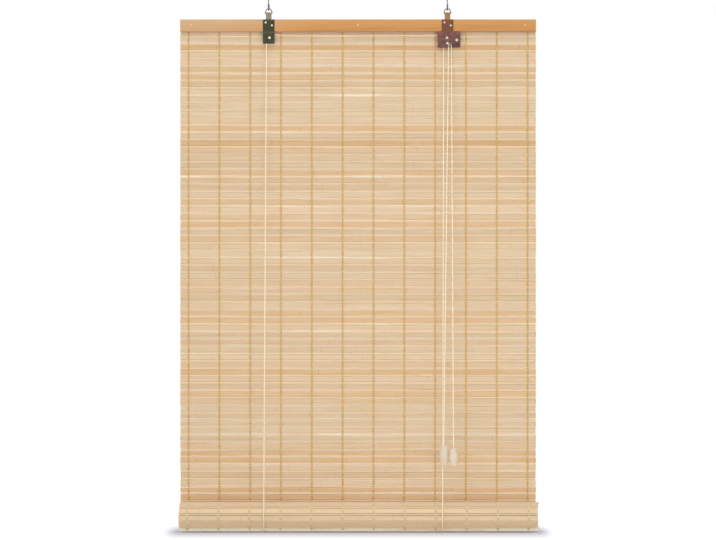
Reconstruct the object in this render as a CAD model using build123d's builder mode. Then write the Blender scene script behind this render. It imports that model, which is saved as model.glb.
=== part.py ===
"""Bamboo roll-up blind, hung from two ceiling hooks and raised by two cords.

A woven mat of flat slats and thin sticks hangs from a wooden head rail. Its lower end is
rolled up in front of it and lies in two cord slings. The cords run up the front to a pulley
bracket on the left and a cord lock on the right, and end in two bell tassels.
The ceiling is the plane Z = 0, the hooks stand at +X and -X, and the front faces -Y.
"""

from math import acos, atan2, cos, degrees, hypot, pi, radians, sin, tan
import os

from build123d import *

os.makedirs("parts", exist_ok=True)

# Mat of flat slats and thin sticks in turn
slat_length = 800.0
slat_width = 11.0
slat_thickness = 2.4
stick_diameter = 3.6
weave_gap = 1.0
weave_web = 0.6
gap_end_margin = 6.0
mat_rows = 66
first_open_row = 1
open_rows = 60

# Warp threads that bind the mat
warp_count = 12
warp_end_inset = 18.6
warp_width = 3.4
warp_thickness = 0.7
thread_clearance = 0.05

# Roll at the lower end of the mat
roll_radius = 34.5
turn_spacing = 5.2
roll_rows = 27
roll_warp_turn_share = 0.93
roll_warp_segments = 18
batten_width = 24.0
batten_depth = 9.0
batten_clearance = 0.3

# Head rail and the strip nailed behind it
rail_thickness = 10.0
rail_height = 27.3
rail_edge_radius = 1.0
back_strip_thickness = 5.0
mat_inset = 7.2
seat_clearance = 0.1
nail_head_radius = 1.6
nail_head_height = 0.5
nail_shank_radius = 0.8
nail_length = 19.0
nail_end_inset = 25.0
hole_clearance = 0.05

# Hooks and rings that carry the blind
hanger_spacing = 402.0
hook_wire = 2.4
hook_drop = 44.8
hook_bend_radius = 4.9
hook_tip_rise = 9.0
hook_shoulder_drop = 20.0
hook_shoulder_radius = 4.0
hook_turn = 10.0
hook_thread_length = 16.0
ring_wire = 2.2
ring_width = 17.8
ring_height = 10.0
ring_top_width = 9.0
ring_corner_radius = 2.2

# Folded strip brackets
strip_thickness = 1.2
bracket_width = 26.0
neck_width = 12.6
neck_height = 13.3
neck_taper = 5.0
neck_bend_radius = 1.5
ring_play = 0.3
bracket_leg_drop = 26.8
bracket_corner_radius = 2.0
bead_radius = 0.8
bead_drop = 1.6
rivet_head_radius = 2.3
rivet_head_height = 1.1
rivet_shank_radius = 1.2
rivet_left_offset = 6.8
rivet_left_drop = 7.2
rivet_right_offset = 7.2
rivet_right_drop = 13.6

# Pulleys, lock roller and cam, on riveted axles
axle_drop = 14.0
axle_radius = 1.8
axle_head_radius = 3.0
axle_head_height = 1.3
running_clearance = 0.05
side_clearance = 0.3
left_axle_offset = 2.0
pulley_rim_radius = 8.0
pulley_flange = 0.7
pulley_boss_radius = 3.6
groove_floor_width = 2.4
groove_spacing = 4.0
wrap_radius = 7.0
lock_left_reach = 22.6
lock_right_margin = 8.2
lock_height = 35.8
lock_window_width = 25.0
lock_window_height = 8.5
lock_axle_offset = 1.4
roller_offset = 1.3
roller_drop = 12.4
roller_radius = 2.4
cam_offset = 22.0
cam_drop = 5.2
cam_hub_radius = 5.0
cam_reach = 12.6
cam_tooth_height = 0.9
cam_teeth = 6
cam_face_angle = 32.0
cam_face_sweep = 28.0

# Cords, staples and tassels
cord_diameter = 2.4
cord_clearance = 0.3
cord_joint_gap = 0.2
left_sling_x = -210.8
right_sling_x = 188.6
staple_wire = 1.4
staple_width = 6.0
staple_drop = 4.0
staple_depth = 10.0
staple_bend_radius = 1.5
lock_exit_spread = 6.6
left_tassel_x = 191.2
left_tassel_top = 1018.0
right_tassel_x = 212.9
right_tassel_top = 1024.5
tassel_height = 40.0
tassel_radius = 9.8
tassel_belly_share = 0.56
tassel_mouth_radius = 7.8
tassel_top_radius = 4.2
tassel_wall = 1.2
tassel_hole_radius = 1.6
knot_radius = 2.6
knot_height = 5.0

# Heights, measured down from the ceiling
hook_bend_z = -hook_drop + hook_wire / 2
ring_top_z = hook_bend_z + hook_wire / 2 + ring_wire / 2 + seat_clearance
ring_base_z = ring_top_z - ring_height
rail_top = ring_base_z - neck_height
rail_bottom = rail_top - rail_height
rail_middle = (rail_top + rail_bottom) / 2
mat_top = rail_top - mat_inset
row_pitch = slat_width + stick_diameter + 2 * weave_gap
mat_bottom = mat_top - mat_rows * row_pitch - slat_width
axle_z = rail_bottom - axle_drop
leg_bottom = rail_bottom - bracket_leg_drop
lock_bottom = rail_bottom - lock_height

# Depths, from the front plates at -Y to the strip behind the mat at +Y
rail_front = -rail_thickness / 2
rail_back = rail_thickness / 2
plate_front = rail_front - strip_thickness
cheek_back = rail_back - strip_thickness
cheek_middle = (cheek_back + rail_front) / 2
thread_height = stick_diameter / 2 + thread_clearance + warp_thickness
mat_y = rail_back + seat_clearance + thread_height
strip_front = mat_y + thread_height + seat_clearance
strip_back = strip_front + back_strip_thickness
strip_middle = (strip_front + strip_back) / 2

# Roll axis: the outer turn leaves the hanging mat at its back
roll_path_radius = roll_radius - stick_diameter / 2
roll_y = mat_y - roll_path_radius
roll_z = mat_bottom
sling_radius = roll_radius + cord_clearance + cord_diameter / 2

# Places along the head rail
hanger_x = hanger_spacing / 2
hanger_places = [-hanger_x, hanger_x]
warp_reach = slat_length / 2 - warp_end_inset
warp_places = [warp_reach * (2 * i / (warp_count - 1) - 1) for i in range(warp_count)]
nail_reach = slat_length / 2 - nail_end_inset
nail_places = [(x, mat_top - slat_width / 2) for x in (-nail_reach, 0, nail_reach)]
rivet_places = [
    (x + offset, rail_top - drop)
    for x in hanger_places
    for offset, drop in ((-rivet_left_offset, rivet_left_drop), (rivet_right_offset, rivet_right_drop))
]
left_axle = (-hanger_x + left_axle_offset, axle_z)
lock_axle = (hanger_x - lock_axle_offset, axle_z)
roller_axle = (lock_axle[0] + roller_offset, axle_z - roller_drop)
cam_axle = (lock_axle[0] + cam_offset, axle_z - cam_drop)
axle_places = [left_axle, lock_axle, roller_axle, cam_axle]
lock_left = hanger_x - lock_left_reach
lock_width = cam_axle[0] + lock_right_margin - lock_left
front_groove_y = cheek_middle - groove_spacing / 2
back_groove_y = cheek_middle + groove_spacing / 2


def keep(builder, name):
    """Label a finished piece and write it to its own file."""
    builder.part.label = name
    export_step(builder.part, f"parts/{name}.step")


def pegs(places, radius, front, back, mode=Mode.ADD):
    """Round bars along Y at (x, z) places, from the front depth to the back depth."""
    with BuildSketch(Plane.XZ.offset(-back)) as ends:
        with Locations(*places):
            Circle(radius)
    extrude(ends.sketch, amount=back - front, mode=mode)


def wire_along(path, diameter):
    """Sweep a round wire or cord along a path."""
    with BuildSketch(Plane(origin=path @ 0, z_dir=path % 0)) as section:
        Circle(diameter / 2)
    sweep(section.sketch, path=path)


def weave_half(top, front):
    """One row of the mat's section on one side: slat, groove, stick and groove, from top down."""
    side = -1 if front else 1
    slat = side * slat_thickness / 2
    web = side * weave_web / 2
    face = side * stick_diameter / 2
    edge = face * tan(pi / 8)
    corner = stick_diameter / 2 - abs(edge)
    slat_end = top - slat_width
    stick_top = slat_end - weave_gap
    stick_end = stick_top - stick_diameter
    return [
        (mat_y + slat, top),
        (mat_y + slat, slat_end),
        (mat_y + web, slat_end),
        (mat_y + web, stick_top),
        (mat_y + edge, stick_top),
        (mat_y + face, stick_top - corner),
        (mat_y + face, stick_end + corner),
        (mat_y + edge, stick_end),
        (mat_y + web, stick_end),
        (mat_y + web, stick_end - weave_gap),
    ]


def mat_side(front):
    """All rows of one side of the hanging mat, closed by one last slat."""
    points = []
    for row in range(mat_rows):
        points += weave_half(mat_top - row * row_pitch, front)
    last = slat_thickness / 2 * (-1 if front else 1)
    return points + [(mat_y + last, mat_bottom + slat_width), (mat_y + last, mat_bottom)]


def on_roll(turn, height):
    """Point of the roll's spiral after a turn in radians, at a height outside the mat's middle."""
    radius = roll_path_radius - turn_spacing * turn / (2 * pi) + height
    return (roll_y + radius * cos(turn), roll_z - radius * sin(turn))


def further(turn, length):
    """Turn that is reached by a length of mat along the spiral."""
    return turn + length / (roll_path_radius - turn_spacing * turn / (2 * pi))


# Hanging mat: one ridged wall, with gaps that show light between slats and sticks
with BuildPart() as slat_mat:
    with BuildSketch(Plane.YZ.offset(-slat_length / 2)):
        with BuildLine():
            Polyline(*mat_side(front=True), *reversed(mat_side(front=False)), close=True)
        make_face()
    extrude(amount=slat_length)
    gap_places = []
    for row in range(first_open_row, first_open_row + open_rows):
        first_gap = mat_top - row * row_pitch - slat_width - weave_gap / 2
        gap_places += [(0, first_gap), (0, first_gap - stick_diameter - weave_gap)]
    with BuildSketch(Plane.XZ.offset(-mat_y - stick_diameter)):
        with Locations(*gap_places):
            Rectangle(slat_length - 2 * gap_end_margin, weave_gap)
    extrude(amount=2 * stick_diameter, mode=Mode.SUBTRACT)
    pegs(nail_places, nail_shank_radius + hole_clearance, rail_back, strip_front, Mode.SUBTRACT)
keep(slat_mat, "slat_mat")

# Warp threads on the two faces of the hanging mat
for name, middle in (
    ("front_warps", mat_y - thread_height + warp_thickness / 2),
    ("back_warps", mat_y + thread_height - warp_thickness / 2),
):
    with BuildPart() as warps:
        with BuildSketch(Plane.XY.offset(mat_bottom)):
            with Locations(*[(x, middle) for x in warp_places]):
                Rectangle(warp_width, warp_thickness)
        extrude(amount=mat_top - mat_bottom)
    keep(warps, name)

# Roll: the rest of the mat in a spiral, its back face outwards
outer_points = []
inner_points = []
turn = weave_gap / roll_path_radius
for row in range(roll_rows):
    stick_end = further(turn, stick_diameter)
    slat_start = further(stick_end, weave_gap)
    slat_end = further(slat_start, slat_width)
    next_stick = further(slat_end, weave_gap)
    stick_quarter = (stick_end - turn) / 4
    outer_points += [
        on_roll(turn, weave_web / 2),
        on_roll(turn + stick_quarter, stick_diameter / 2),
        on_roll(stick_end - stick_quarter, stick_diameter / 2),
        on_roll(stick_end, weave_web / 2),
        on_roll(slat_start, weave_web / 2),
        on_roll(slat_start, slat_thickness / 2),
        on_roll(slat_end, slat_thickness / 2),
        on_roll(slat_end, weave_web / 2),
    ]
    inner_points += [
        on_roll(turn + 2 * stick_quarter, -stick_diameter / 2),
        on_roll(slat_start, -slat_thickness / 2),
        on_roll(slat_end, -slat_thickness / 2),
    ]
    last_slat = (slat_start, slat_end)
    turn = next_stick
with BuildPart() as slat_roll:
    with BuildSketch(Plane.YZ.offset(-slat_length / 2)):
        with BuildLine():
            Polyline(*outer_points, *reversed(inner_points), close=True)
        make_face()
    extrude(amount=slat_length)
keep(slat_roll, "slat_roll")

# Warp threads over the outer turn of the roll, their chords clear of the sticks
warp_step = 2 * pi * roll_warp_turn_share / roll_warp_segments
warp_turns = [weave_gap / roll_path_radius + warp_step * i for i in range(roll_warp_segments + 1)]
chord_lift = roll_radius * (1 - cos(warp_step / 2))
with BuildPart() as roll_warps:
    with BuildSketch(*[Plane.YZ.offset(x - warp_width / 2) for x in warp_places]):
        with BuildLine():
            Polyline(
                *[on_roll(t, thread_height + chord_lift) for t in warp_turns],
                *[on_roll(t, thread_height + chord_lift - warp_thickness) for t in reversed(warp_turns)],
                close=True,
            )
        make_face()
    extrude(amount=warp_width)
keep(roll_warps, "roll_warps")

# Bottom batten: a half-round weight bar inside the last slats of the mat
batten_turn = further(last_slat[1], -batten_width / 2)
batten_end_radius = roll_path_radius - turn_spacing * last_slat[1] / (2 * pi)
batten_radius = batten_end_radius - stick_diameter / 2 - batten_clearance
with BuildPart() as bottom_batten:
    with BuildSketch(Plane.YZ.offset(-slat_length / 2)):
        with Locations((roll_y, roll_z)):
            Circle(batten_radius)
        with Locations(Location((roll_y, roll_z), -degrees(batten_turn))):
            with Locations((batten_radius - batten_depth / 2, 0)):
                Rectangle(batten_depth, batten_width, mode=Mode.INTERSECT)
    extrude(amount=slat_length)
keep(bottom_batten, "bottom_batten")

# Head rail, let in at the back for the brackets' rear legs
with BuildPart() as head_rail:
    with Locations((0, 0, rail_middle)):
        Box(slat_length, rail_thickness, rail_height)
    fillet(head_rail.edges().filter_by(Axis.X), rail_edge_radius)
    with Locations(*[(x, rail_back, rail_middle) for x in hanger_places]):
        Box(
            bracket_width + 2 * seat_clearance,
            2 * (strip_thickness + seat_clearance),
            rail_height,
            mode=Mode.SUBTRACT,
        )
    pegs(rivet_places, rivet_shank_radius + hole_clearance, rail_front, rail_back, Mode.SUBTRACT)
    pegs(nail_places, nail_shank_radius + hole_clearance, rail_front, rail_back, Mode.SUBTRACT)
keep(head_rail, "head_rail")

# Strip behind the mat, which the rail's nails and the cord staples are driven into
staple_places = [
    (x + side * staple_width / 2, strip_middle) for x in (left_sling_x, right_sling_x) for side in (-1, 1)
]
with BuildPart() as back_strip:
    with Locations((0, strip_middle, rail_middle)):
        Box(slat_length, back_strip_thickness, rail_height)
    fillet(back_strip.edges().filter_by(Axis.X), rail_edge_radius)
    nail_tip = rail_front + nail_length
    pegs(nail_places, nail_shank_radius + hole_clearance, strip_front, nail_tip, Mode.SUBTRACT)
    with BuildSketch(Plane.XY.offset(rail_bottom)):
        with Locations(*staple_places):
            Circle(staple_wire / 2 + hole_clearance)
    extrude(amount=staple_depth, mode=Mode.SUBTRACT)
keep(back_strip, "back_strip")

# Nails through the rail and the mat
with BuildPart() as rail_nails:
    pegs(nail_places, nail_shank_radius, rail_front, nail_tip)
    pegs(nail_places, nail_head_radius, rail_front - nail_head_height, rail_front)
keep(rail_nails, "rail_nails")

# Screw hooks, cut to a plain shank above the ceiling plane
with BuildPart() as screw_hooks:
    for x in hanger_places:
        hook_plane = Plane(origin=(x, 0, 0), x_dir=(sin(radians(hook_turn)), cos(radians(hook_turn)), 0),
                           z_dir=(cos(radians(hook_turn)), -sin(radians(hook_turn)), 0))
        bend_top = hook_bend_z + hook_bend_radius
        with BuildLine(hook_plane):
            shank = FilletPolyline(
                (0, hook_thread_length),
                (0, -hook_shoulder_drop),
                (-hook_bend_radius, -hook_shoulder_drop - 2 * hook_bend_radius),
                (-hook_bend_radius, bend_top),
                radius=hook_shoulder_radius,
            )
            bend = CenterArc((0, bend_top), hook_bend_radius, 180, 180)
            tip = Line((hook_bend_radius, bend_top), (hook_bend_radius, bend_top + hook_tip_rise))
            hook_path = Wire(shank.edges() + bend.edges() + tip.edges())
        wire_along(hook_path, hook_wire)
keep(screw_hooks, "screw_hooks")

# Hanging rings: a wire bow whose straight base lies in the bracket's loop
with BuildPart() as hanging_rings:
    for x in hanger_places:
        with BuildLine(Plane.XZ):
            ring_path = FilletPolyline(
                (x + ring_width / 2, ring_base_z),
                (x + ring_top_width / 2, ring_top_z),
                (x - ring_top_width / 2, ring_top_z),
                (x - ring_width / 2, ring_base_z),
                radius=ring_corner_radius,
                close=True,
            )
        wire_along(ring_path, ring_wire)
keep(hanging_rings, "hanging_rings")


def folded_strip(x, bottom):
    """Strip folded over the ring's base, with a leg on each side of the head rail."""
    loop = ring_wire / 2 + ring_play + strip_thickness / 2
    front = rail_front - strip_thickness / 2
    back = rail_back - strip_thickness / 2
    shoulder = rail_top + strip_thickness
    with BuildSketch(Plane.YZ.offset(x)) as fold:
        with BuildLine():
            FilletPolyline(
                (front, bottom), (front, shoulder), (-loop, shoulder + neck_taper), (-loop, ring_base_z),
                radius=neck_bend_radius,
            )
            ThreePointArc((-loop, ring_base_z), (0, ring_base_z + loop), (loop, ring_base_z))
            FilletPolyline(
                (loop, ring_base_z), (loop, shoulder + neck_taper), (back, shoulder), (back, bottom),
                radius=neck_bend_radius,
            )
        trace(line_width=strip_thickness)
    extrude(fold.sketch, amount=bracket_width / 2, both=True)
    shoulder_width = (bracket_width - neck_width) / 2
    for side in (-1, 1):
        with Locations((x + side * (neck_width + shoulder_width) / 2, 0, rail_top)):
            Box(
                shoulder_width,
                2 * rail_thickness,
                2 * neck_height,
                align=(Align.CENTER, Align.CENTER, Align.MIN),
                mode=Mode.SUBTRACT,
            )


def bead_across(x, width):
    """Pressed bead across the front leg, just below the rail."""
    with BuildSketch(Plane.YZ.offset(x)) as bead:
        with Locations((plate_front, rail_bottom - bead_drop)):
            Circle(bead_radius)
        with Locations((rail_front, rail_bottom - bead_drop)):
            Rectangle(2 * strip_thickness, 2 * bead_radius, align=(Align.MIN, Align.CENTER), mode=Mode.SUBTRACT)
    extrude(bead.sketch, amount=width / 2, both=True)


# Left bracket: its two legs are the cheeks of the pulley
with BuildPart() as left_bracket:
    folded_strip(-hanger_x, leg_bottom)
    fillet(
        left_bracket.edges().filter_by(Axis.Y).group_by(Axis.Z)[0],
        bracket_corner_radius,
    )
    bead_across(-hanger_x, bracket_width)
    pegs(rivet_places[:2], rivet_shank_radius + hole_clearance, plate_front, rail_back, Mode.SUBTRACT)
    pegs([left_axle], axle_radius + hole_clearance, plate_front, rail_back, Mode.SUBTRACT)
keep(left_bracket, "left_bracket")

# Lock bracket: the same strip, its legs widened below the rail to the cheeks of the cord lock
with BuildPart() as lock_bracket:
    folded_strip(hanger_x, lock_bottom)
    lock_middle = (lock_left + lock_width / 2, rail_bottom - lock_height / 2)
    for back in (rail_front, rail_back):
        with BuildSketch(Plane.XZ.offset(-back)):
            with Locations(lock_middle):
                RectangleRounded(lock_width, lock_height, bracket_corner_radius)
        extrude(amount=strip_thickness)
    with BuildSketch(Plane.XZ.offset(-rail_front)):
        with Locations((lock_left + lock_width - lock_window_width / 2 - bracket_corner_radius, lock_bottom)):
            RectangleRounded(lock_window_width, 2 * lock_window_height, bracket_corner_radius)
    extrude(amount=strip_thickness, mode=Mode.SUBTRACT)
    bead_across(hanger_x, bracket_width)
    pegs(rivet_places[2:], rivet_shank_radius + hole_clearance, plate_front, rail_back, Mode.SUBTRACT)
    pegs(axle_places[1:], axle_radius + hole_clearance, plate_front, rail_back, Mode.SUBTRACT)
keep(lock_bracket, "lock_bracket")

# Rivets that clench the brackets on the rail, and the axle rivets
with BuildPart() as bracket_rivets:
    pegs(rivet_places, rivet_shank_radius, plate_front, rail_back)
    pegs(rivet_places, rivet_head_radius, plate_front - rivet_head_height, plate_front)
    chamfer(bracket_rivets.faces().sort_by(Axis.Y)[:len(rivet_places)].edges(), rivet_head_height / 2)
keep(bracket_rivets, "bracket_rivets")

with BuildPart() as axle_rivets:
    pegs(axle_places, axle_radius, plate_front, rail_back)
    pegs(axle_places, axle_head_radius, plate_front - axle_head_height, plate_front)
    chamfer(axle_rivets.faces().sort_by(Axis.Y)[:len(axle_places)].edges(), axle_head_height / 2)
keep(axle_rivets, "axle_rivets")


def groove_points(middle):
    """Section of one cord groove between two rims, from front to back, as (radius, depth)."""
    floor = wrap_radius - cord_diameter / 2 - cord_clearance
    rim = groove_spacing / 2 - pulley_flange / 2
    return [
        (pulley_rim_radius, middle - rim),
        (floor, middle - groove_floor_width / 2),
        (floor, middle + groove_floor_width / 2),
        (pulley_rim_radius, middle + rim),
    ]


def turned(axle, section):
    """Turn a (radius, depth) section about an axle."""
    with BuildSketch(Plane(origin=(axle[0], 0, axle[1]))) as half:
        with BuildLine():
            Polyline(*section, close=True)
        make_face()
    revolve(half.sketch, axis=Axis((axle[0], 0, axle[1]), (0, 1, 0)))


# Left pulley: one groove, with a boss that keeps it off the rear cheek
wheel_front = rail_front + side_clearance
wheel_back = cheek_back - side_clearance
bore = axle_radius + running_clearance
single_back = front_groove_y + groove_spacing / 2
with BuildPart() as left_pulley:
    turned(left_axle, [
        (bore, wheel_front),
        (pulley_rim_radius, wheel_front),
        *groove_points(front_groove_y),
        (pulley_rim_radius, single_back),
        (pulley_boss_radius, single_back),
        (pulley_boss_radius, wheel_back),
        (bore, wheel_back),
    ])
keep(left_pulley, "left_pulley")

# Lock pulley: two grooves side by side, one for each cord
with BuildPart() as lock_pulley:
    turned(lock_axle, [
        (bore, wheel_front),
        (pulley_rim_radius, wheel_front),
        *groove_points(front_groove_y),
        *groove_points(back_groove_y),
        (pulley_rim_radius, wheel_back),
        (bore, wheel_back),
    ])
keep(lock_pulley, "lock_pulley")

# Roller that the cam presses the cords against
with BuildPart() as lock_roller:
    turned(roller_axle, [
        (bore, wheel_front),
        (roller_radius, wheel_front),
        (roller_radius, wheel_back),
        (bore, wheel_back),
    ])
keep(lock_roller, "lock_roller")

# Locking cam: a hub with a toothed face towards the cords
with BuildPart() as lock_cam:
    with BuildSketch(Plane.XZ.offset(-wheel_back)):
        with BuildLine():
            teeth = []
            for i in range(2 * cam_teeth + 1):
                reach = cam_reach - cam_tooth_height * (i % 2)
                angle = radians(180 + cam_face_angle + cam_face_sweep * (i / (2 * cam_teeth) - 1 / 2))
                teeth.append((cam_axle[0] + reach * cos(angle), cam_axle[1] + reach * sin(angle)))
            Polyline(cam_axle, *teeth, close=True)
        make_face()
        with Locations(cam_axle):
            Circle(cam_hub_radius)
            Circle(bore, mode=Mode.SUBTRACT)
    extrude(amount=wheel_back - wheel_front)
keep(lock_cam, "lock_cam")

# Staples under the back strip, which the cords' fixed ends are tied to
with BuildPart() as cord_staples:
    for x in (left_sling_x, right_sling_x):
        with BuildLine(Plane.XZ.offset(-strip_middle)):
            staple_path = FilletPolyline(
                (x - staple_width / 2, rail_bottom + staple_depth),
                (x - staple_width / 2, rail_bottom - staple_drop),
                (x + staple_width / 2, rail_bottom - staple_drop),
                (x + staple_width / 2, rail_bottom + staple_depth),
                radius=staple_bend_radius,
            )
        wire_along(staple_path, staple_wire)
keep(cord_staples, "cord_staples")

# Lift cords: a straight run behind the mat, a sling under the roll, a straight run up the front
tied_z = rail_bottom - staple_drop - staple_wire / 2 - cord_clearance
for name, x, axle, groove_y in (
    ("left", left_sling_x, left_axle, front_groove_y),
    ("right", right_sling_x, lock_axle, back_groove_y),
):
    with BuildPart() as rear_run:
        with BuildLine():
            rear_path = Line((x, strip_middle, tied_z), (x, roll_y + sling_radius, roll_z))
        wire_along(rear_path, cord_diameter)
    keep(rear_run, f"{name}_cord_rear_run")

    reach_y = groove_y - roll_y
    reach_z = axle[1] - roll_z
    leave = degrees(atan2(reach_z, reach_y) + acos(sling_radius / hypot(reach_y, reach_z)))
    with BuildPart() as sling:
        with BuildLine(Plane.YZ.offset(x)):
            sling_path = CenterArc((roll_y, roll_z), sling_radius, 0, leave - 360)
        wire_along(sling_path, cord_diameter)
    keep(sling, f"{name}_cord_sling")

    with BuildPart() as front_run:
        with BuildLine():
            front_path = Line(sling_path @ 1, (axle[0] - wrap_radius, groove_y, axle[1] - cord_joint_gap))
        wire_along(front_path, cord_diameter)
    keep(front_run, f"{name}_cord_front_run")
    print(f"{name} sling radius {sling_radius:.1f} mm, leaves at {leave:.1f} degrees")

# Where the cords leave the lock pulley for the two exits at the lock's foot
lock_exits = [lock_axle[0] + wrap_radius + side * lock_exit_spread / 2 for side in (-1, 1)]


def leaving_angle(exit_x):
    """Angle on the lock pulley, in degrees, at which a cord leaves it for its exit."""
    away_x = exit_x - lock_axle[0]
    away_z = lock_bottom - lock_axle[1]
    return degrees(atan2(away_z, away_x) + acos(wrap_radius / hypot(away_x, away_z)))


# Transfer cord: over the left pulley, along below the rail and over the lock pulley
with BuildPart() as transfer_cord:
    with BuildLine(Plane.XZ.offset(-front_groove_y)):
        over_left = CenterArc(left_axle, wrap_radius, 180, -90)
        along = Line(over_left @ 1, (lock_axle[0], axle_z + wrap_radius))
        over_lock = CenterArc(lock_axle, wrap_radius, 90, leaving_angle(lock_exits[0]) - 90)
        transfer_path = Wire(over_left.edges() + along.edges() + over_lock.edges())
    wire_along(transfer_path, cord_diameter)
keep(transfer_cord, "transfer_cord")
print(f"transfer cord radius {wrap_radius:.1f} mm")

# Pull cords: off the lock pulley, between roller and cam, and down to the tassels in front of the roll's path
tassel_y = roll_y - sling_radius - cord_diameter / 2 - cord_clearance - tassel_radius
for name, groove_y, exit_x, tassel_x, tassel_top in (
    ("left", front_groove_y, lock_exits[0], left_tassel_x, left_tassel_top),
    ("right", back_groove_y, lock_exits[1], right_tassel_x, right_tassel_top),
):
    with BuildPart() as pull_cord:
        leave = leaving_angle(exit_x)
        with BuildLine(Plane.XZ.offset(-groove_y)):
            over_path = CenterArc(lock_axle, wrap_radius, 180, leave - 180)
        start = over_path @ 1
        foot = Vector(exit_x, groove_y, lock_bottom)
        end = Vector(tassel_x, tassel_y, -tassel_top - tassel_wall + cord_joint_gap)
        pull_radius = (foot - start).length / 2 / tan(radians((foot - start).get_angle(end - foot) / 2))
        with BuildLine():
            run_path = FilletPolyline(start, foot, end, radius=pull_radius)
        if name == "right":
            pull_path = Wire(over_path.edges() + run_path.edges())
        else:
            pull_path = run_path
        wire_along(pull_path, cord_diameter)
    keep(pull_cord, f"{name}_pull_cord")
    print(f"{name} pull cord radius {pull_radius:.1f} mm")

    # Egg-shaped bell tassel, hollow below, with the cord's knot inside its crown
    shell_top = -tassel_top
    shell_bottom = shell_top - tassel_height
    with BuildPart() as tassel:
        with BuildSketch(Plane(origin=(tassel_x, tassel_y, 0), x_dir=(1, 0, 0), z_dir=(0, -1, 0))):
            with BuildLine():
                Line((0, shell_top), (tassel_top_radius, shell_top))
                Spline(
                    (tassel_top_radius, shell_top),
                    (tassel_radius, shell_top - tassel_belly_share * tassel_height),
                    (tassel_mouth_radius, shell_bottom),
                    tangents=[(1, -1), (-1, -4)],
                )
                Polyline((tassel_mouth_radius, shell_bottom), (0, shell_bottom), (0, shell_top))
            make_face()
        revolve(axis=Axis((tassel_x, tassel_y, 0), (0, 0, 1)))
        offset(amount=-tassel_wall, openings=tassel.faces().sort_by(Axis.Z)[0])
        with Locations((tassel_x, tassel_y, shell_top)):
            Cylinder(tassel_hole_radius, 2 * tassel_height, mode=Mode.SUBTRACT)
    keep(tassel, f"{name}_tassel")

    with BuildPart() as knot:
        with BuildSketch(Plane.XY.offset(shell_top - tassel_wall - knot_height)):
            with Locations((tassel_x, tassel_y)):
                Circle(knot_radius)
        extrude(amount=knot_height)
        chamfer(knot.edges().filter_by(GeomType.CIRCLE), knot_radius / 4)
    keep(knot, f"{name}_tassel_knot")
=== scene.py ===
"""Looks of the bamboo roll-up blind: slats, sticks, twined threads, cords and tassels round the CAD frame.

Metres, in the CAD frame: the ceiling is Z = 0, X runs along the slats and the front faces -Y.
"""

import math
import random

import bpy
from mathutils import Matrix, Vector, noise


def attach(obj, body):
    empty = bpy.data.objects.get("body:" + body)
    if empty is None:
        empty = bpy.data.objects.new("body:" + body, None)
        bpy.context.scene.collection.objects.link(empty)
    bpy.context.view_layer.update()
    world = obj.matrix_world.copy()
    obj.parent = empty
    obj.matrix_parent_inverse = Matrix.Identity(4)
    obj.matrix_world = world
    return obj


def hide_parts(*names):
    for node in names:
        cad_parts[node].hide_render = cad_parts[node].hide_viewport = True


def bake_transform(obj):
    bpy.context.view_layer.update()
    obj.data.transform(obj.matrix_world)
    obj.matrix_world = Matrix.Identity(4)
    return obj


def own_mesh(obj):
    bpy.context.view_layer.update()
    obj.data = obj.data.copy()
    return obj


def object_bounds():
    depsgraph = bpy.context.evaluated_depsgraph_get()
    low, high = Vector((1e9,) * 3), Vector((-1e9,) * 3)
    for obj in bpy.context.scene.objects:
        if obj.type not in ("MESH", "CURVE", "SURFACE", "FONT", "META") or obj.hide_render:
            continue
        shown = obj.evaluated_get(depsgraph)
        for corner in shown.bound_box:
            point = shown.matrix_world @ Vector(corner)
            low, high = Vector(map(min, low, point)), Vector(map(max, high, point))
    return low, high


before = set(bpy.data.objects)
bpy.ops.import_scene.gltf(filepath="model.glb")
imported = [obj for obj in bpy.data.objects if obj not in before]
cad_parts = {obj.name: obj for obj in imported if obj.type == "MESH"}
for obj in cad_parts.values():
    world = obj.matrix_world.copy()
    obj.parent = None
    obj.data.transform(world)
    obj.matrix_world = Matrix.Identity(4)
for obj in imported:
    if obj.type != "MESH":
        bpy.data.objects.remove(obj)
cad_low, cad_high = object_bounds()

# Mat
SLAT_LENGTH = 0.800
SLAT_WIDTH = 0.0110
SLAT_THICKNESS = 0.0024
SLAT_EDGE = 0.0008
STICK_RADIUS = 0.0018
WEAVE_GAP = 0.0010
ROW_PITCH = 0.0166
ROWS = 66
MAT_TOP = -0.0717
MAT_BOTTOM = MAT_TOP - ROWS * ROW_PITCH - SLAT_WIDTH
MAT_Y = 0.00765

# How slats and sticks differ: shares of their own size, and waves of noise in a metre
LENGTH_SPREAD = 0.0012
SLAT_SWELL = (0.95, 1.00)
STICK_SWELL = (1.42, 1.58)
WAVER = 0.00022
WAVER_WAVES = 6
WAVER_IN_DEPTH = 0.5
GIRTH_SPREAD = 0.05
GIRTH_WAVES = 9

# A piece's number says where in the noise it is cut from; each kind of piece counts from its own number
STICK_NUMBERS = 100
ROLL_STICK_NUMBERS = 200
ROLL_SLAT_NUMBERS = 300
WAVER_STEP, WAVER_PLANE = 7.3, 0.5
GIRTH_STEP, GIRTH_PLANE = 3.1, 4.0

# Mesh of a slat or stick
LENGTH_CUTS = 20
STICK_SIDES = 8

# Tones run from pale to brown and blush from beige to rosy; a few rows are browner than the rest
SLAT_TONE = (0.12, 0.40)
STICK_TONE = (-0.18, 0.10)
# Painted shade and warm bounce light: the listed rows from 58 down are warmer, and row 64 above the roll is
# darker
BROWN_AND_SHADED_ROWS = {
    3: 0.57, 6: 0.42, 7: 0.45, 14: 0.45, 16: 0.57, 20: 0.42, 27: 0.43, 39: 0.42,
    40: 0.41, 47: 0.48, 50: 0.41, 58: 0.47, 59: 0.47, 63: 0.42, 64: 0.43,
}
BROWN_BLUSH = (0.7, 0.9)
SLAT_BLUSH = (0.0, 0.6)
FAINT_BLUSH = (0.0, 0.3)
GRAIN_SHIFT = (0, 40)

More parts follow.
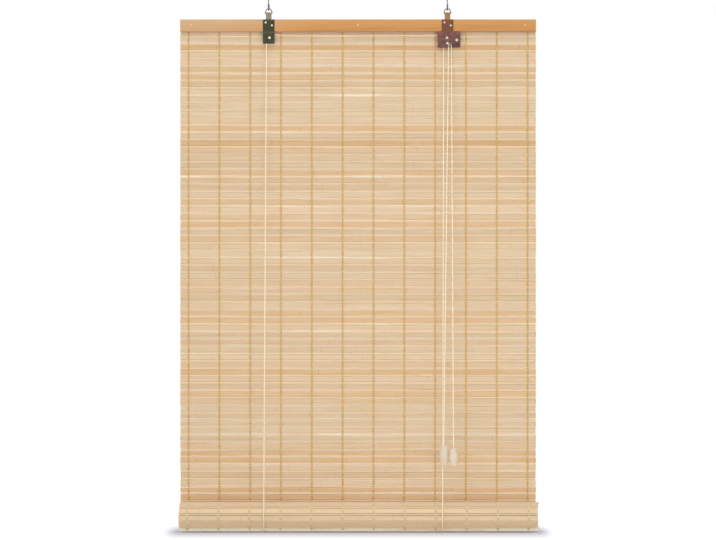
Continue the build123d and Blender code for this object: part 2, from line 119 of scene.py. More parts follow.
# Threads: where they cross a slat is a share of its width
WARP_COUNT = 12
WARP_REACH = 0.3814
THREAD_RADIUS = 0.00090
THREAD_SIDE = 0.00105
THREAD_LEAN = 0.0003
THREAD_PRESSED = 0.8
STICK_CROSSING = 0.0006
STICK_DIP = 0.9
SLAT_CROSSINGS = (0.08, 0.5, 0.92)
FIRST_CROSSINGS = (0.45, 0.7, 0.92)

# Rail and brackets
STAIN_X = (-0.30, -0.08)
RAIL_FACE_Z = (-0.068, -0.092)
BEAD_Z = -0.0934
FOLD_Z = (-0.062, -0.057)

# Roll
ROLL_Y = -0.02505
ROLL_Z = MAT_BOTTOM
ROLL_PATH_RADIUS = 0.0327
TURN_SPACING = 0.0052
ROLL_ROWS = 27
THREADED_ROWS = 13
LOOSE_ROLL_ROW = 3
LOOSE_TILT = math.radians(50)
# Painted light: the loose slat is palest, standing in for light bounced up from the floor
LOOSE_PAINTED_LIGHT_TONE = -0.40
ROLL_SLAT_TONE = (0.0, 0.22)
ROLL_STICK_TONE = (-0.10, 0.15)
ROLL_SLAT_SWELL = 1.04
ROLL_STICK_SWELL = 1.15
OUTER_LONGER = 1.004
SLIDE = 0.0025
SLIDE_STEP = 0.9
SLIDE_MIDDLE = 0.0015
ROLL_WARP_SPREAD = 1.002
SLAT_END_TURN = 0.03

# Cords
CORD_RADIUS = 0.0012
LEFT_PULL_LENGTH = 0.917
RIGHT_PULL_LENGTH = 0.948
STRIP_Y = 0.0128
TIED_Z = -0.0968
OFF_STRIP_Z = -0.1112
SLING_RADIUS = 0.0360
OCTAGON_CORNER = 0.41
FRONT_RISE = 0.0020
AXLE_Z = -0.1058
WRAP_RADIUS = 0.0070
WRAP_CORNER = 0.6
WRAP_END = 0.001
STRAIGHT_REACH = 0.0144
SLACK_REACH = 0.0300
SLACK = 0.0022
LEFT_AXLE_X = -0.1990
LOCK_AXLE_X = 0.1996
FRONT_GROOVE_Y = -0.0026
BACK_GROOVE_Y = 0.0014
LEFT_SLING_X = -0.2108
RIGHT_SLING_X = 0.1886
LOCK_FOOT_Z = -0.1276
LOCK_EXITS = (0.2033, 0.2099)
TASSEL_Y = -0.07235

# Stage
FLOOR_SIZE = 14
FLOOR_BACK = 1.0
FLOOR_DROP = 0.0004
# The floor's painted shadow: how far from the roll it fades out, and how fast beyond the slat ends
SHADOW_REACH = (0.06, 0.30)
SHADOW_END_FADE = 6.0
FLOOR_GLOW = (0.01, 0.62)
ROOM_LEVEL = (0.62, 1.0)
CAMERA_PLACE = (-0.0002, -9.0, -0.6279)
CAMERA_LENS = 201.2
SENSOR_WIDTH = 36
CLIP_END = 60

random.seed(11)


# Helpers


def deselect():
    """Leave nothing selected, the CAD nodes included."""
    if bpy.context.object and bpy.context.object.mode != "OBJECT":
        bpy.ops.object.mode_set(mode="OBJECT")
    bpy.ops.object.select_all(action="DESELECT")


def pick(piece):
    """Make one piece the selected and active one."""
    deselect()
    piece.select_set(True)
    bpy.context.view_layer.objects.active = piece


def named(name):
    """Name the piece that an operator has just made."""
    piece = bpy.context.object
    piece.name = name
    piece.data.name = name
    return piece


def join(pieces, name):
    """Join pieces into one mesh."""
    deselect()
    for piece in pieces:
        piece.select_set(True)
    bpy.context.view_layer.objects.active = pieces[0]
    bpy.ops.object.join()
    return named(name)


def linear(code):
    """Linear colour of an sRGB hex code."""
    parts = [int(code[i : i + 2], 16) / 255 for i in (1, 3, 5)]
    return [c / 12.92 if c <= 0.04045 else ((c + 0.055) / 1.055) ** 2.4 for c in parts] + [1.0]


def add_node(tree, kind, inputs=(), stops=(), **settings):
    """Add a node with its settings and its ramp's stops.

    An input is a value, or the output that it is linked to.
    """
    node = tree.nodes.new(kind)
    for key, value in settings.items():
        setattr(node, key, value)
    for place, _ in stops[1:-1]:
        node.color_ramp.elements.new(place)
    for i, (place, code) in enumerate(stops):
        node.color_ramp.elements[i].position = place
        node.color_ramp.elements[i].color = linear(code)
    for key, value in dict(inputs).items():
        if isinstance(value, bpy.types.NodeSocket):
            tree.links.new(value, node.inputs[key])
        else:
            node.inputs[key].default_value = value
    return node


def blank_material(name):
    """A new material, its node tree and its Principled shader."""
    material = bpy.data.materials.new(name)
    material.use_nodes = True
    return material, material.node_tree, material.node_tree.nodes["Principled BSDF"]


# Materials


def split_bamboo():
    """Split bamboo, planed: straight fibres, each slat in its own shade, thin dark lines at the knuckles."""
    material, tree, shader = blank_material("split_bamboo")
    tone = add_node(tree, "ShaderNodeAttribute", attribute_name="tone").outputs["Fac"]
    shift = add_node(tree, "ShaderNodeAttribute", attribute_name="shift").outputs["Fac"]
    blush = add_node(tree, "ShaderNodeAttribute", attribute_name="blush").outputs["Fac"]
    place = add_node(tree, "ShaderNodeTexCoord").outputs["Object"]
    aside = add_node(tree, "ShaderNodeCombineXYZ", {"X": shift}).outputs[0]
    own = add_node(tree, "ShaderNodeVectorMath", {0: place, 1: aside}, operation="ADD").outputs[0]

    # Fibres 1 mm wide and 200 mm long, streaks 3 mm by 300 mm, patches 25 mm by 100 mm
    fibre_place = add_node(tree, "ShaderNodeMapping", {0: own, "Scale": (5, 1000, 1000)}).outputs[0]
    fibres = add_node(tree, "ShaderNodeTexNoise", {"Vector": fibre_place, "Scale": 1, "Detail": 4}).outputs[0]
    streak_place = add_node(tree, "ShaderNodeMapping", {0: own, "Scale": (3.3, 330, 330)}).outputs[0]
    streaks = add_node(tree, "ShaderNodeTexNoise", {"Vector": streak_place, "Scale": 1, "Detail": 3}).outputs[0]
    patch_place = add_node(tree, "ShaderNodeMapping", {0: own, "Scale": (10, 40, 40)}).outputs[0]
    patches = add_node(tree, "ShaderNodeTexNoise", {"Vector": patch_place, "Scale": 1, "Detail": 2}).outputs[0]
    value = add_node(tree, "ShaderNodeMath", {0: fibres, 1: 0.30, 2: tone}, operation="MULTIPLY_ADD").outputs[0]
    value = add_node(tree, "ShaderNodeMath", {0: streaks, 1: 0.45, 2: value}, operation="MULTIPLY_ADD").outputs[0]
    value = add_node(tree, "ShaderNodeMath", {0: patches, 1: 0.40, 2: value}, operation="MULTIPLY_ADD").outputs[0]

    # Knuckles about 340 mm apart
    along = add_node(tree, "ShaderNodeSeparateXYZ", {0: own}).outputs["X"]
    along = add_node(tree, "ShaderNodeMath", {0: along, 1: 0.17}, operation="PINGPONG").outputs[0]
    knuckle = add_node(
        tree, "ShaderNodeMapRange", {"Value": along, "From Min": 0.0016, "From Max": 0.0002, "To Max": 0.22}
    ).outputs[0]
    value = add_node(tree, "ShaderNodeMath", {0: value, 1: knuckle}, operation="ADD").outputs[0]

    value = add_node(tree, "ShaderNodeMapRange", {"Value": value, "From Min": 0.2, "From Max": 1.5}).outputs[0]
    beige = add_node(
        tree, "ShaderNodeValToRGB", {0: value},
        stops=(
            (0.0, "#FBF0DA"), (0.15, "#E7CEA8"), (0.41, "#D8C09C"),
            (0.66, "#CDAF88"), (0.83, "#C49D6D"), (1.0, "#A87C48"),
        ),
    ).outputs[0]
    rosy = add_node(
        tree, "ShaderNodeValToRGB", {0: value},
        stops=(
            (0.0, "#FBF0DA"), (0.15, "#E9CCAB"), (0.41, "#DDBD9A"),
            (0.66, "#D7AF7E"), (0.83, "#D09E62"), (1.0, "#B47C42"),
        ),
    ).outputs[0]
    colour = add_node(tree, "ShaderNodeMix", {0: blush, 6: beige, 7: rosy}, data_type="RGBA").outputs[2]
    tree.links.new(colour, shader.inputs["Base Color"])
    rough = add_node(tree, "ShaderNodeMapRange", {"Value": fibres, "To Min": 0.42, "To Max": 0.56}).outputs[0]
    tree.links.new(rough, shader.inputs["Roughness"])
    bump = add_node(tree, "ShaderNodeBump", {"Height": fibres, "Strength": 0.25, "Distance": 0.0003}).outputs[0]
    tree.links.new(bump, shader.inputs["Normal"])
    return material


def stained_pine():
    """Pine, planed and lightly stained: wavy grain along the rail, paler to the left, with painted shade low
    down.
    """
    material, tree, shader = blank_material("stained_pine")
    place = add_node(tree, "ShaderNodeTexCoord").outputs["Object"]
    parts = add_node(tree, "ShaderNodeSeparateXYZ", {0: place}).outputs
    stain_and_painted_shade = add_node(
        tree, "ShaderNodeMapRange",
        {"Value": parts["X"], "From Min": STAIN_X[0], "From Max": STAIN_X[1], "To Min": 0.0, "To Max": 0.34},
    ).outputs[0]
    # Painted light and shade: the rail's face is paler at its top and darker towards its lower edge
    painted_light_and_shade = add_node(
        tree, "ShaderNodeMapRange",
        {
            "Value": parts["Z"], "From Min": RAIL_FACE_Z[0], "From Max": RAIL_FACE_Z[1],
            "To Min": -0.10, "To Max": 0.12,
        },
    ).outputs[0]
    stain_and_painted_shade = add_node(tree, "ShaderNodeMath", {0: stain_and_painted_shade, 1: painted_light_and_shade}, operation="ADD").outputs[0]

    # Growth rings 5 mm apart and 170 mm long, pores 0.5 mm by 30 mm
    grain_place = add_node(tree, "ShaderNodeMapping", {0: place, "Scale": (6, 190, 190)}).outputs[0]
    grain = add_node(
        tree, "ShaderNodeTexNoise", {"Vector": grain_place, "Scale": 1, "Detail": 4, "Distortion": 0.6}
    ).outputs[0]
    pore_place = add_node(tree, "ShaderNodeMapping", {0: place, "Scale": (30, 2200, 2200)}).outputs[0]
    pores = add_node(tree, "ShaderNodeTexNoise", {"Vector": pore_place, "Scale": 1, "Detail": 2}).outputs[0]
    value = add_node(tree, "ShaderNodeMath", {0: grain, 1: 0.45, 2: stain_and_painted_shade}, operation="MULTIPLY_ADD").outputs[0]
    value = add_node(tree, "ShaderNodeMath", {0: pores, 1: 0.16, 2: value}, operation="MULTIPLY_ADD").outputs[0]
    colour = add_node(
        tree, "ShaderNodeValToRGB", {0: value},
        stops=((0.0, "#D5B58F"), (0.35, "#C99E6E"), (0.62, "#CB8E49"), (1.0, "#A4662D")),
    ).outputs[0]
    tree.links.new(colour, shader.inputs["Base Color"])
    rough = add_node(tree, "ShaderNodeMapRange", {"Value": grain, "To Min": 0.36, "To Max": 0.50}).outputs[0]
    tree.links.new(rough, shader.inputs["Roughness"])
    bump = add_node(tree, "ShaderNodeBump", {"Height": pores, "Strength": 0.12, "Distance": 0.0002}).outputs[0]
    tree.links.new(bump, shader.inputs["Normal"])
    return material


def twisted_yarn(name, pale, dark, turns):
    """Twisted yarn: dull fibre with slanting strand lines, drawn along the tube's own UV map."""
    material, tree, shader = blank_material(name)
    coordinates = add_node(tree, "ShaderNodeTexCoord").outputs
    parts = add_node(tree, "ShaderNodeSeparateXYZ", {0: coordinates["UV"]}).outputs
    slant = add_node(
        tree, "ShaderNodeMath", {0: parts[0], 1: turns, 2: parts[1]}, operation="MULTIPLY_ADD"
    ).outputs[0]
    strands = add_node(tree, "ShaderNodeMath", {0: slant, 1: 0.5}, operation="PINGPONG").outputs[0]

    # Fluff 1 mm across
    fluff = add_node(
        tree, "ShaderNodeTexNoise", {"Vector": coordinates["Object"], "Scale": 900, "Detail": 2}
    ).outputs[0]
    value = add_node(tree, "ShaderNodeMath", {0: fluff, 1: 0.5, 2: strands}, operation="MULTIPLY_ADD").outputs[0]
    colour = add_node(
        tree, "ShaderNodeValToRGB", {0: value}, stops=((0.25, dark), (0.55, pale), (1.0, pale))
    ).outputs[0]
    tree.links.new(colour, shader.inputs["Base Color"])
    shader.inputs["Roughness"].default_value = 0.85
    bump = add_node(tree, "ShaderNodeBump", {"Height": value, "Strength": 0.4, "Distance": 0.0003}).outputs[0]
    tree.links.new(bump, shader.inputs["Normal"])
    return material


def lacquered_steel(name, pale, dark, strap, bare):
    """Pressed steel under thin lacquer: mottled, another shade above the bead, worn at the fold, a painted
    highlight on the bead.
    """
    material, tree, shader = blank_material(name)
    place = add_node(tree, "ShaderNodeTexCoord").outputs["Object"]

    # Blotches 6 mm across
    mottle = add_node(tree, "ShaderNodeTexNoise", {"Vector": place, "Scale": 170, "Detail": 4}).outputs[0]
    colour = add_node(tree, "ShaderNodeValToRGB", {0: mottle}, stops=((0.38, dark), (0.62, pale))).outputs[0]
    height = add_node(tree, "ShaderNodeSeparateXYZ", {0: place}).outputs["Z"]
    off_bead = add_node(tree, "ShaderNodeMath", {0: height, 1: -BEAD_Z}, operation="ADD").outputs[0]
    on_strap = add_node(
        tree, "ShaderNodeMapRange", {"Value": off_bead, "From Min": 0.0, "From Max": 0.0010, "To Max": 0.75}
    ).outputs[0]
    colour = add_node(
        tree, "ShaderNodeMix", {0: on_strap, 6: colour, 7: linear(strap)}, data_type="RGBA"
    ).outputs[2]
    # Painted highlight: a pale line along the bead, in the colour of the worn metal
    off_bead = add_node(tree, "ShaderNodeMath", {0: off_bead}, operation="ABSOLUTE").outputs[0]
    bead = add_node(
        tree, "ShaderNodeMapRange", {"Value": off_bead, "From Min": 0.0010, "From Max": 0.0004, "To Max": 0.5}
    ).outputs[0]
    height = add_node(
        tree, "ShaderNodeMath", {0: mottle, 1: 0.010, 2: height}, operation="MULTIPLY_ADD"
    ).outputs[0]
    fold = add_node(
        tree, "ShaderNodeMapRange", {"Value": height, "From Min": FOLD_Z[0], "From Max": FOLD_Z[1]}
    ).outputs[0]
    worn_fold_and_painted_highlight = add_node(tree, "ShaderNodeMath", {0: fold, 1: bead}, operation="MAXIMUM").outputs[0]
    colour = add_node(tree, "ShaderNodeMix", {0: worn_fold_and_painted_highlight, 6: colour, 7: linear(bare)}, data_type="RGBA").outputs[2]
    tree.links.new(colour, shader.inputs["Base Color"])
    shader.inputs["Metallic"].default_value = 0.25
    shader.inputs["Specular IOR Level"].default_value = 0.3
    rough = add_node(tree, "ShaderNodeMapRange", {"Value": mottle, "To Min": 0.40, "To Max": 0.58}).outputs[0]
    tree.links.new(rough, shader.inputs["Roughness"])
    bump = add_node(tree, "ShaderNodeBump", {"Height": mottle, "Strength": 0.15, "Distance": 0.0002}).outputs[0]
    tree.links.new(bump, shader.inputs["Normal"])
    return material


def plated_steel(name, pale, dark, roughness):
    """Zinc-plated steel: a grey metal with faint cloudy spangle, blotches 2.5 mm across."""
    material, tree, shader = blank_material(name)
    place = add_node(tree, "ShaderNodeTexCoord").outputs["Object"]
    spangle = add_node(tree, "ShaderNodeTexNoise", {"Vector": place, "Scale": 420, "Detail": 3}).outputs[0]
    colour = add_node(tree, "ShaderNodeValToRGB", {0: spangle}, stops=((0.25, dark), (0.75, pale))).outputs[0]
    tree.links.new(colour, shader.inputs["Base Color"])
    shader.inputs["Metallic"].default_value = 1.0
    rough = add_node(
        tree, "ShaderNodeMapRange", {"Value": spangle, "To Min": roughness, "To Max": roughness + 0.15}
    ).outputs[0]
    tree.links.new(rough, shader.inputs["Roughness"])
    return material


def cloudy_polythene():
    """Moulded polythene, thin and cloudy: what is behind it shows through, under a soft waxy gloss."""
    material, tree, shader = blank_material("cloudy_polythene")
    place = add_node(tree, "ShaderNodeTexCoord").outputs["Object"]

    # Cloudiness in blotches 8 mm across
    cloud = add_node(tree, "ShaderNodeTexNoise", {"Vector": place, "Scale": 120, "Detail": 2}).outputs[0]
    colour = add_node(
        tree, "ShaderNodeValToRGB", {0: cloud}, stops=((0.3, "#F8F0E2"), (0.7, "#ECE0CC"))
    ).outputs[0]
    tree.links.new(colour, shader.inputs["Base Color"])
    shader.inputs["Roughness"].default_value = 0.3
    shader.inputs["IOR"].default_value = 1.51
    shader.inputs["Alpha"].default_value = 0.34
    return material


BAMBOO = split_bamboo()
PINE = stained_pine()
WARP_YARN = twisted_yarn("ochre_cotton", "#E3BF82", "#C9A05A", 420)
FADED_YARN = twisted_yarn("faded_cotton", "#E6D6A6", "#D3BF8A", 420)
CORD_YARN = twisted_yarn("cream_polyester", "#FDF0D6", "#EDD9B4", 300)
# Painted shade and warm bounce: the crossing cord's yarn is the cream cord darkened and warmed as under the rail
SHADED_YARN = twisted_yarn("shaded_polyester", "#F4D5AC", "#E4C08F", 300)
OLIVE_STEEL = lacquered_steel("olive_lacquer", "#4A472C", "#262A1B", "#39371F", "#868069")
BROWN_STEEL = lacquered_steel("brown_lacquer", "#80544E", "#5A3C38", "#6F482B", "#9B6F47")
ZINC_WIRE = plated_steel("zinc_wire", "#86857F", "#4C4B47", 0.25)
DULL_NAIL = plated_steel("dull_nail", "#F6DDB6", "#D9B282", 0.45)
BRIGHT_STEEL = plated_steel("bright_steel", "#E6E1D6", "#BDB6A8", 0.20)
POLYTHENE = cloudy_polythene()


def finish(piece, material):
    """Give a piece its one material."""
    piece.data.materials.clear()
    piece.data.materials.append(material)
    return piece


# Mat: one slat and one stick are modelled, then copied down the blind and round the roll


def pick_long_edges(piece):
    """In edit mode, select the edges that run along the whole length."""
    pick(piece)
    bpy.ops.object.mode_set(mode="EDIT")
    bpy.ops.mesh.select_mode(type="EDGE")
    bpy.ops.mesh.select_all(action="DESELECT")
    bpy.ops.object.mode_set(mode="OBJECT")
    for edge in piece.data.edges:
        ends = [piece.data.vertices[i].co for i in edge.vertices]
        edge.select = abs(ends[0].x - ends[1].x) > SLAT_LENGTH / 2
    bpy.ops.object.mode_set(mode="EDIT")


def plain_slat():
    """Flat slat with its long edges rounded, centred on the origin."""
    deselect()
    bpy.ops.mesh.primitive_cube_add(size=1)
    piece = named("slat")
    piece.scale = (SLAT_LENGTH, SLAT_THICKNESS, SLAT_WIDTH)
    bpy.ops.object.transform_apply(scale=True)
    pick_long_edges(piece)
    bpy.ops.mesh.bevel(offset=SLAT_EDGE, segments=2, affect="EDGES")
    pick_long_edges(piece)
    bpy.ops.mesh.subdivide(number_cuts=LENGTH_CUTS)
    bpy.ops.object.mode_set(mode="OBJECT")
    return piece


def plain_stick():
    """Thin round stick along X, centred on the origin."""
    deselect()
    bpy.ops.mesh.primitive_cylinder_add(
        vertices=STICK_SIDES, radius=STICK_RADIUS, depth=SLAT_LENGTH, rotation=(0, math.pi / 2, 0)
    )
    piece = named("stick")
    bpy.ops.object.transform_apply(rotation=True)
    pick_long_edges(piece)
    bpy.ops.mesh.subdivide(number_cuts=LENGTH_CUTS)
    bpy.ops.object.mode_set(mode="OBJECT")
    return piece


def lay(pattern, y, z, turn, tone, number, swell, blush, sideways=0.0, longer=1.0):
    """Copy a slat or stick to its row: turned about X, with a wavering edge and its own tone."""
    piece = pattern.copy()
    piece.data = pattern.data.copy()
    bpy.context.collection.objects.link(piece)
    stretch = longer + random.uniform(-LENGTH_SPREAD, LENGTH_SPREAD)
    cos, sin = math.cos(turn), math.sin(turn)
    for vertex in piece.data.vertices:
        x = vertex.co.x * stretch + sideways
        waver = WAVER * noise.noise(Vector((x * WAVER_WAVES, number * WAVER_STEP, WAVER_PLANE)))
        girth = GIRTH_SPREAD * noise.noise(Vector((x * GIRTH_WAVES, number * GIRTH_STEP, GIRTH_PLANE)))
        across = vertex.co.z * (swell + girth) + waver
        out = vertex.co.y * (1 + girth) + WAVER_IN_DEPTH * waver
        vertex.co = (x, y + out * cos - across * sin, z + out * sin + across * cos)
    count = len(piece.data.vertices)
    own = {"tone": tone, "shift": random.uniform(*GRAIN_SHIFT), "blush": random.uniform(*blush)}
    for key, value in own.items():
        layer = piece.data.attributes.new(key, "FLOAT", "POINT")
        layer.data.foreach_set("value", [value] * count)
    return piece


slat, stick = plain_slat(), plain_stick()

mat_pieces = []
for row in range(ROWS + 1):
    top = MAT_TOP - row * ROW_PITCH
    tone = BROWN_AND_SHADED_ROWS.get(row, random.uniform(*SLAT_TONE))
    blush = BROWN_BLUSH if row in BROWN_AND_SHADED_ROWS else SLAT_BLUSH
    swell = random.uniform(*SLAT_SWELL)
    mat_pieces.append(lay(slat, MAT_Y, top - SLAT_WIDTH / 2, 0, tone, row, swell, blush))
    if row < ROWS:
        middle = top - SLAT_WIDTH - WEAVE_GAP - STICK_RADIUS
        tone = random.uniform(*STICK_TONE)
        swell = random.uniform(*STICK_SWELL)
        mat_pieces.append(lay(stick, MAT_Y, middle, 0, tone, row + STICK_NUMBERS, swell, FAINT_BLUSH))
mat = finish(join(mat_pieces, "bamboo_mat"), BAMBOO)
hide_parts("slat_mat")
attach(mat, "head_frame")
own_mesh(mat)


# Roll: the rest of the slats and sticks on a spiral


def spiral_radius(turn):
    """Radius of the mat's middle after a turn from the roll's back, inwards."""
    return ROLL_PATH_RADIUS - TURN_SPACING * turn / (2 * math.pi)


def on_roll(turn, height=0.0):
    """Y and Z of a point of the spiral, at a height above the mat's middle."""
    radius = spiral_radius(turn) + height
    return ROLL_Y + radius * math.cos(turn), ROLL_Z - radius * math.sin(turn)


def further(turn, length):
    """Turn that is reached by a length of mat along the spiral."""
    return turn + length / spiral_radius(turn)


roll_pieces = []
roll_turns = []
turn = WEAVE_GAP / ROLL_PATH_RADIUS
for row in range(ROLL_ROWS):
    stick_end = further(turn, 2 * STICK_RADIUS)
    stick_turn = (turn + stick_end) / 2
    slat_start = further(stick_end, WEAVE_GAP)
    slat_end = further(slat_start, SLAT_WIDTH)
    slat_turn = (slat_start + slat_end) / 2
    slide = SLIDE * (1 - row / ROLL_ROWS) * math.sin(row * SLIDE_STEP) + SLIDE_MIDDLE
    longer = OUTER_LONGER if row < THREADED_ROWS else 1.0
    tone = random.uniform(*ROLL_STICK_TONE)
    place, number = on_roll(stick_turn), row + ROLL_STICK_NUMBERS
    roll_pieces.append(
        lay(stick, *place, -stick_turn, tone, number, ROLL_STICK_SWELL, FAINT_BLUSH, slide, longer)
    )
    tone, tilt = random.uniform(*ROLL_SLAT_TONE), 0
    # The loose slat is tilted to face forward and painted palest, as painted floor bounce light
    if row == LOOSE_ROLL_ROW:
        tone, tilt = LOOSE_PAINTED_LIGHT_TONE, -LOOSE_TILT
    tilt -= slat_turn
    place, number = on_roll(slat_turn), row + ROLL_SLAT_NUMBERS
    roll_pieces.append(lay(slat, *place, tilt, tone, number, ROLL_SLAT_SWELL, SLAT_BLUSH, slide, longer))
    roll_turns.append((stick_turn, slat_start, slat_turn, slat_end))
    turn = further(slat_end, WEAVE_GAP)
roll = finish(join(roll_pieces, "bamboo_roll"), BAMBOO)
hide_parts("slat_roll")
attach(roll, "roll")
bpy.data.objects.remove(slat)
bpy.data.objects.remove(stick)


# Threads and cords: smooth lines with a round section


def line_curve(name, runs, radius, resolution, sides):
    """A curve object with one NURBS spline for each run of points."""
    data = bpy.data.curves.new(name, "CURVE")
    data.dimensions = "3D"
    data.bevel_depth = radius
    data.bevel_resolution = sides
    data.use_fill_caps = True
    for points in runs:
        spline = data.splines.new("NURBS")
        spline.points.add(len(points) - 1)
        for point, place in zip(spline.points, points):
            point.co = (*place, 1)
        spline.order_u = 3
        spline.use_endpoint_u = True
        spline.resolution_u = resolution
    curve = bpy.data.objects.new(name, data)
    bpy.context.collection.objects.link(curve)
    return curve


def as_mesh(curve):
    """Turn a finished curve into a smooth mesh."""
    pick(curve)
    bpy.ops.object.convert(target="MESH")
    bpy.ops.object.shade_smooth()
    return bpy.context.object


def centreline(curve):
    """Points along a curve's own line, with its thickness left off."""
    depth = curve.data.bevel_depth
    curve.data.bevel_depth = 0
    bpy.context.view_layer.update()
    bare = curve.evaluated_get(bpy.context.evaluated_depsgraph_get())
    mesh = bpy.data.meshes.new_from_object(bare)
    points = [tuple(v.co) for v in mesh.vertices]
    bpy.data.meshes.remove(mesh)
    curve.data.bevel_depth = depth
    return points


warp_places = [WARP_REACH * (2 * i / (WARP_COUNT - 1) - 1) for i in range(WARP_COUNT)]
pair_places = [x + side * THREAD_SIDE for x in warp_places for side in (-1, 1)]
OVER_SLAT = SLAT_THICKNESS / 2 + THREAD_RADIUS
OVER_STICK = STICK_RADIUS + THREAD_PRESSED * THREAD_RADIUS


def twining(x, side):
    """One thread of a twined pair: over the slats and under the sticks, or the other way about."""
    points = []
    for row in range(1, ROWS + 1):
        top = MAT_TOP - row * ROW_PITCH
        lean = x + random.uniform(-THREAD_LEAN, THREAD_LEAN)
        for drop in FIRST_CROSSINGS if row == 1 else SLAT_CROSSINGS:
            points.append((lean, MAT_Y - side * OVER_SLAT, top - drop * SLAT_WIDTH))
        if row < ROWS:
            under = top - SLAT_WIDTH - WEAVE_GAP - STICK_RADIUS
            points.append((x - THREAD_LEAN, MAT_Y + side * OVER_STICK * STICK_DIP, under + STICK_CROSSING))
            points.append((x + THREAD_LEAN, MAT_Y + side * OVER_STICK, under - STICK_CROSSING))
    return points


for name, side, node in (("front_twine", 1, "front_warps"), ("back_twine", -1, "back_warps")):
    runs = [twining(x, side) for x in pair_places]
    twine = as_mesh(line_curve(name, runs, THREAD_RADIUS, resolution=1, sides=1))
    finish(twine, WARP_YARN)
    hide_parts(node)
    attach(twine, "head_frame")
    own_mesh(twine)


def twining_on_roll(x, side):
    """One thread of a twined pair round the roll."""
    points = []
    for stick_turn, slat_start, slat_turn, slat_end in roll_turns[:THREADED_ROWS]:
        points.append((x, *on_roll(stick_turn, -side * OVER_STICK)))
        for turn in (slat_start + SLAT_END_TURN, slat_turn, slat_end - SLAT_END_TURN):
            lean = x + random.uniform(-THREAD_LEAN, THREAD_LEAN)
            points.append((lean, *on_roll(turn, side * OVER_SLAT)))
    return points


runs = [twining_on_roll(x * ROLL_WARP_SPREAD, side) for x in pair_places for side in (1, -1)]
roll_twine = as_mesh(line_curve("roll_twine", runs, THREAD_RADIUS, resolution=2, sides=1))
finish(roll_twine, FADED_YARN)
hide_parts("roll_warps")
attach(roll_twine, "roll")

# Cords: each lift cord is a rear run, a sling under the roll and a front run


def cord_piece(name, points, node, yarn=CORD_YARN):
    """A cord on the points of its route, replacing its CAD solid."""
    curve = line_curve(name, [points], CORD_RADIUS, resolution=12, sides=2)
    path = centreline(curve)
    cord = finish(as_mesh(curve), yarn)
    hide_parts(node)
    return cord


def shorten(cord):
    """Attach a straight run to the head frame, with a mesh of its own."""
    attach(cord, "head_frame")
    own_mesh(cord)


# The sling's corners lie on an octagon round the roll
BEHIND_Y = ROLL_Y + SLING_RADIUS
BEFORE_Y = ROLL_Y - SLING_RADIUS
CORNER = OCTAGON_CORNER * SLING_RADIUS
UNDER_Z = ROLL_Z - SLING_RADIUS
FRONT_Z = ROLL_Z + FRONT_RISE

# Each front run comes down a little before the roll, so that it clears the roll when that is up
LEFT_PULLEY = (LEFT_AXLE_X - WRAP_RADIUS, FRONT_GROOVE_Y, AXLE_Z)
LOCK_PULLEY = (LOCK_AXLE_X - WRAP_RADIUS, BACK_GROOVE_Y, AXLE_Z)
for name, x, pulley, below_pulley, above_roll in (
    ("left", LEFT_SLING_X, LEFT_PULLEY, (-0.2061, -0.0034, -0.1202), (-0.2101, -0.0640, -1.0260)),
    ("right", RIGHT_SLING_X, LOCK_PULLEY, (0.1925, 0.0006, -0.1202), (0.1892, -0.0640, -1.0260)),
):
    tied = (x, STRIP_Y, TIED_Z)
    behind = (x, BEHIND_Y, ROLL_Z)
    before = (x, BEFORE_Y, FRONT_Z)
    rear_points = [tied, (x, STRIP_Y, OFF_STRIP_Z), behind]
    rear = cord_piece(f"{name}_rear_cord", rear_points, f"{name}_cord_rear_run")
    shorten(rear)
    sling_points = [
        behind,
        (x, BEHIND_Y, ROLL_Z - CORNER),
        (x, ROLL_Y + CORNER, UNDER_Z),
        (x, ROLL_Y - CORNER, UNDER_Z),
        (x, BEFORE_Y, ROLL_Z - CORNER),
        before,
    ]
    sling = cord_piece(f"{name}_sling", sling_points, f"{name}_cord_sling")
    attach(sling, "slings")
    front_points = [pulley, below_pulley, above_roll, before]
    front = cord_piece(f"{name}_front_cord", front_points, f"{name}_cord_front_run")
    shorten(front)

# The cord over both pulleys, a little slack between them
OVER_Z = AXLE_Z + WRAP_RADIUS
BESIDE = WRAP_CORNER * WRAP_RADIUS
transfer = [
    LEFT_PULLEY,
    (LEFT_AXLE_X - WRAP_RADIUS, FRONT_GROOVE_Y, AXLE_Z + BESIDE),
    (LEFT_AXLE_X - BESIDE, FRONT_GROOVE_Y, OVER_Z),
    (LEFT_AXLE_X + STRAIGHT_REACH, FRONT_GROOVE_Y, OVER_Z),
    (LEFT_AXLE_X + SLACK_REACH, FRONT_GROOVE_Y, OVER_Z - SLACK),
    (LOCK_AXLE_X - SLACK_REACH, FRONT_GROOVE_Y, OVER_Z - SLACK),
    (LOCK_AXLE_X - STRAIGHT_REACH, FRONT_GROOVE_Y, OVER_Z),
    (LOCK_AXLE_X + BESIDE, FRONT_GROOVE_Y, OVER_Z),
    (LOCK_AXLE_X + WRAP_RADIUS, FRONT_GROOVE_Y, AXLE_Z + BESIDE),
    (LOCK_AXLE_X + WRAP_RADIUS, FRONT_GROOVE_Y, AXLE_Z - WRAP_END),
]
# Painted shade: the crossing cord wears the darker, warmer yarn
transfer_line = cord_piece("transfer_line", transfer, "transfer_cord", SHADED_YARN)
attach(transfer_line, "head_frame")

